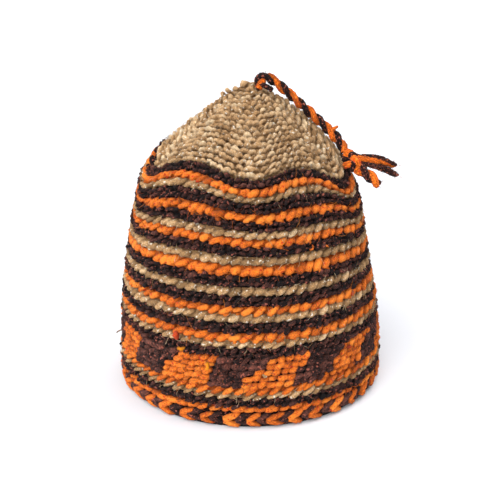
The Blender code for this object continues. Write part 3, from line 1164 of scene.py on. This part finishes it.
class HAT_OT_side_stitches(bpy.types.Operator):
    """Work the striped side, one piece for each yarn"""

    bl_idname = "hat.side_stitches"
    bl_label = "Striped side"

    def execute(self, context):
        sizes = context.scene.hat_sizes
        wall = Wall(sizes)
        chance = np.random.default_rng(11)
        band, bottom = rows_of(BAND_STRIPES, EDGING_HEIGHT)
        rows, _ = rows_of(SIDE_STRIPES, bottom)
        for yarn in YARNS:
            parts = []
            for number, (kind, middle, height) in enumerate(rows):
                if kind == yarn:
                    count = round(sizes.stitches * STITCHES[kind][0])
                    phase = (number + len(band)) * sizes.row_shift
                    parts.append(row_lobes(wall, kind, middle, height, count, phase, chance))
                    if yarn == "orange":
                        parts.append(under_loops(parts[-1], chance))
            stitches_piece(yarn + "_rounds", wall, parts, None, (yarn,), "striped_side")
        return {"FINISHED"}


class HAT_OT_band_stitches(bpy.types.Operator):
    """Work the check band, with its leaning orange blocks"""

    bl_idname = "hat.band_stitches"
    bl_label = "Check band"

    def execute(self, context):
        sizes = context.scene.hat_sizes
        wall = Wall(sizes)
        chance = np.random.default_rng(12)
        rows, _ = rows_of(BAND_STRIPES, EDGING_HEIGHT)
        checks = [middle for kind, middle, _ in rows if kind == "check"]
        block = dict(zip(BLOCK_COLUMNS, np.array(BLOCKS, dtype=float).T))
        parts = []
        slots = []
        for number, (kind, middle, height) in enumerate(rows):
            count = round(sizes.stitches * STITCHES[kind][0])
            row = row_lobes(wall, kind, middle, height, count, number * sizes.row_shift, chance)
            parts.append(row)
            if kind != "check":
                slots.extend([slot_of(kind)] * count)
                continue
            share = (middle - checks[0]) / (checks[-1] - checks[0])
            left = block["low_left"] + (block["high_left"] - block["low_left"]) * share
            right = block["low_right"] + (block["high_right"] - block["low_right"]) * share
            for bearing in np.degrees(row["bearing"]):
                in_block = np.any((bearing - left) % 360 < right - left)
                slots.append(YARNS.index("orange" if in_block else "brown"))
        stitches_piece("band_rounds", wall, parts, slots, YARNS, "check_band")
        return {"FINISHED"}


class HAT_OT_crown_stitches(bpy.types.Operator):
    """Work the beige crown in rounds that shrink towards the tip"""

    bl_idname = "hat.crown_stitches"
    bl_label = "Crown"

    def execute(self, context):
        sizes = context.scene.hat_sizes
        wall = Wall(sizes)
        chance = np.random.default_rng(13)
        _, bottom = rows_of(BAND_STRIPES + SIDE_STRIPES, EDGING_HEIGHT)
        corners = len(CORNERS)
        parts = []
        for number, (kind, middle, height) in enumerate(crown_rows(wall, bottom)):
            around = math.tau * wall.at("radius", middle) * 0.97
            count = max(corners, round(around / sizes.crown_pitch / corners) * corners)
            parts.append(row_lobes(wall, kind, middle, height, count, number * 0.5, chance))
        stitches_piece("crown_rounds", wall, parts, None, ("beige",), "crown")
        return {"FINISHED"}


class HAT_OT_edging_loops(bpy.types.Operator):
    """Work the rim's fat loops, orange and brown in turn"""

    bl_idname = "hat.edging_loops"
    bl_label = "Edging"

    def execute(self, context):
        sizes = context.scene.hat_sizes
        wall = Wall(sizes)
        chance = np.random.default_rng(14)
        shape = lobe_shape(*LOOP_LOBE)
        spacing = math.tau / EDGING_LOOPS
        points = []
        slots = []
        count = EDGING_LOOPS
        for slot, row in enumerate(LOOPS):
            loop = dict(zip(LOOP_COLUMNS, row))
            bearing = (np.arange(count) + loop["offset"] + chance.normal(0, 0.07, count)) * spacing
            reach = LOOP_REACH * chance.normal(1, 0.13, count)[:, None]
            rise = loop["rise"] * chance.normal(1, 0.10, count)[:, None]

            def path(along):
                # The loop runs from its upper right end round its left turn to its lower right
                open_share = np.sqrt(along ** 2 + 0.03)
                across = reach * (open_share - 0.35)
                return across, rise * along, loop["deep"] + 0.0010 * open_share ** 2

            arc = np.full((count, 1), loop["arc"])
            thick = LOOP_THICKNESS * chance.normal(1, 0.10, count)[:, None]
            laid = laid_on_wall(wall, shape, arc, bearing[:, None], path, thick, thick * 1.05)
            points.append(laid)
            slots.extend([slot] * count)
        points = np.concatenate(points)
        points[:, :, 2] = np.maximum(points[:, :, 2], LOOPS_LOWEST)
        shades = np.clip(chance.normal(0.5, 0.2, len(slots)), 0, 1)
        lengths = np.full(len(slots), 0.02)
        mesh = mesh_of_lobes("edging_loops", shape, points, lengths, shades, slots, RAGGEDNESS)
        add_piece(mesh, ("orange", "brown"), "edging")
        return {"FINISHED"}


class HAT_OT_spots(bpy.types.Operator):
    """Put the red, yellow and pale spots and a stray hair in the wool"""

    bl_idname = "hat.spots"
    bl_label = "Spots in the wool"

    def execute(self, context):
        wall = Wall(context.scene.hat_sizes)
        yarns = ("orange", "beige", "red", "yellow")
        spots = dict(zip(SPOT_COLUMNS, zip(*SPOTS)))
        size = {key: np.array(spots[key])[:, None] for key in SPOT_COLUMNS[:-1]}
        lean = np.radians(size["lean"])

        def path(along):
            across = size["length"] / 2 * (along * np.cos(lean) - 0.5 * along ** 2 * np.sin(lean))
            up = size["length"] / 2 * (along * np.sin(lean) + 0.5 * along ** 2 * np.cos(lean))
            return across, up, 0.0006 - size["lift"] * (1 - along ** 2)

        shape = lobe_shape(*SPOT_LOBE)
        width = size["width"] / 2
        place = (size["arc"], np.radians(size["bearing"]))
        points = laid_on_wall(wall, shape, *place, path, width, width)
        slots = [yarns.index(yarn) for yarn in spots["yarn"]]
        shades = np.full(len(SPOTS), SPOT_SHADE)
        lengths = spots["length"]
        mesh = mesh_of_lobes("wool_spots", shape, points, lengths, shades, slots, RAGGEDNESS)
        add_piece(mesh, yarns)

        stray = bmesh.new()
        swept_yarn(stray, smooth_rows(STRAY_HAIR, 6), 0.00045, 5, -0.4, 1)
        swept_yarn(stray, CORD_STUB, (0.0018, 0.0015, 0.0008), 8, 0.3, 0)
        swept_yarn(stray, smooth_rows(CORD_ROOT, 6), 0.0017, 8, 0.0, 2)
        add_piece(mesh_from(stray, "stray_yarns"), YARNS)
        return {"FINISHED"}


class HAT_OT_fibres(bpy.types.Operator):
    """Scatter loose fibres that stand out of the wool"""

    bl_idname = "hat.fibres"
    bl_label = "Loose fibres"

    def execute(self, context):
        sizes = context.scene.hat_sizes
        wall = Wall(sizes)
        chance = np.random.default_rng(15)
        rows, top = rows_of(BAND_STRIPES + SIDE_STRIPES, EDGING_HEIGHT)
        rows = rows + crown_rows(wall, top)[:-1]
        arcs = np.array([middle for _, middle, _ in rows])
        weights = np.array([wall.at("radius", middle) * height for _, middle, height in rows])
        picked = chance.choice(len(rows), sizes.fibres, p=weights / weights.sum())
        slots = [slot_of(rows[row][0]) for row in picked]
        count = sizes.fibres
        lengths = chance.normal(0.0042, 0.0018, count)
        arc = (arcs[picked] + chance.uniform(-0.002, 0.002, count))[:, None]
        bearing = chance.uniform(0, math.tau, count)[:, None]
        length = np.clip(lengths, 0.0015, 0.011)[:, None]
        heading = chance.normal(0.4, 0.7, count)
        heading = (heading + math.pi * chance.integers(0, 2, count))[:, None]
        curl = chance.normal(0, 0.6, count)[:, None]
        lift = np.abs(chance.normal(0.0010, 0.0007, count))[:, None]

        def path(along):
            share = (along + 1) / 2
            across = length * (share * np.cos(heading) - curl * share ** 2 * np.sin(heading))
            up = length * (share * np.sin(heading) + curl * share ** 2 * np.cos(heading))
            depth = 0.0006 - lift * np.sin(share * 2.4)
            return across, up, depth

        shape = lobe_shape(*FIBRE_LOBE)
        thick = chance.uniform(0.00005, 0.00014, count)[:, None]
        points = laid_on_wall(wall, shape, arc, bearing, path, thick, thick)
        points[:, :, 2] = np.maximum(points[:, :, 2], FIBRES_LOWEST)
        more, more_lengths = cord_fibres(shape, 6, chance)
        slots.extend(2 * chance.integers(0, 2, len(more)))
        points = np.concatenate([points, more])
        lengths = np.concatenate([length[:, 0], more_lengths])
        shades = chance.uniform(0.2, 1.7, len(points))
        mesh = mesh_of_lobes("loose_fibres", shape, points, lengths, shades, slots)
        add_piece(mesh, YARNS)
        return {"FINISHED"}


class HAT_PT_pieces(bpy.types.Panel):
    """The hat's pieces and settings"""

    bl_label = "Knit Hat"
    bl_idname = "HAT_PT_pieces"
    bl_space_type = "VIEW_3D"
    bl_region_type = "UI"
    bl_category = "Knit Hat"

    def draw(self, context):
        layout = self.layout
        scene = context.scene
        for group in (scene.hat_sizes, scene.wool_colours, scene.hat_studio):
            for name in group.bl_rna.properties.keys():
                if name not in ("rna_type", "name"):
                    layout.prop(group, name)
        for operator in OPERATORS:
            layout.operator(operator.bl_idname)


OPERATORS = (
    HAT_OT_stage,
    HAT_OT_tassel,
    HAT_OT_cord,
    HAT_OT_fabric,
    HAT_OT_side_stitches,
    HAT_OT_band_stitches,
    HAT_OT_crown_stitches,
    HAT_OT_edging_loops,
    HAT_OT_spots,
    HAT_OT_fibres,
)
CLASSES = (HatSizes, WoolColours, StudioSettings, *OPERATORS, HAT_PT_pieces)


def register():
    for item in CLASSES:
        bpy.utils.register_class(item)
    bpy.types.Scene.hat_sizes = bpy.props.PointerProperty(type=HatSizes)
    bpy.types.Scene.wool_colours = bpy.props.PointerProperty(type=WoolColours)
    bpy.types.Scene.hat_studio = bpy.props.PointerProperty(type=StudioSettings)


def unregister():
    del bpy.types.Scene.hat_studio
    del bpy.types.Scene.wool_colours
    del bpy.types.Scene.hat_sizes
    for item in reversed(CLASSES):
        bpy.utils.unregister_class(item)


def main():
    register()
    bpy.ops.hat.stage()
    bpy.ops.hat.tassel()
    bpy.ops.hat.cord()
    bpy.ops.hat.fabric()
    bpy.ops.hat.side_stitches()
    bpy.ops.hat.band_stitches()
    bpy.ops.hat.crown_stitches()
    bpy.ops.hat.edging_loops()
    bpy.ops.hat.spots()
    bpy.ops.hat.fibres()

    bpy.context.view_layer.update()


if __name__ == "__main__":
    main()
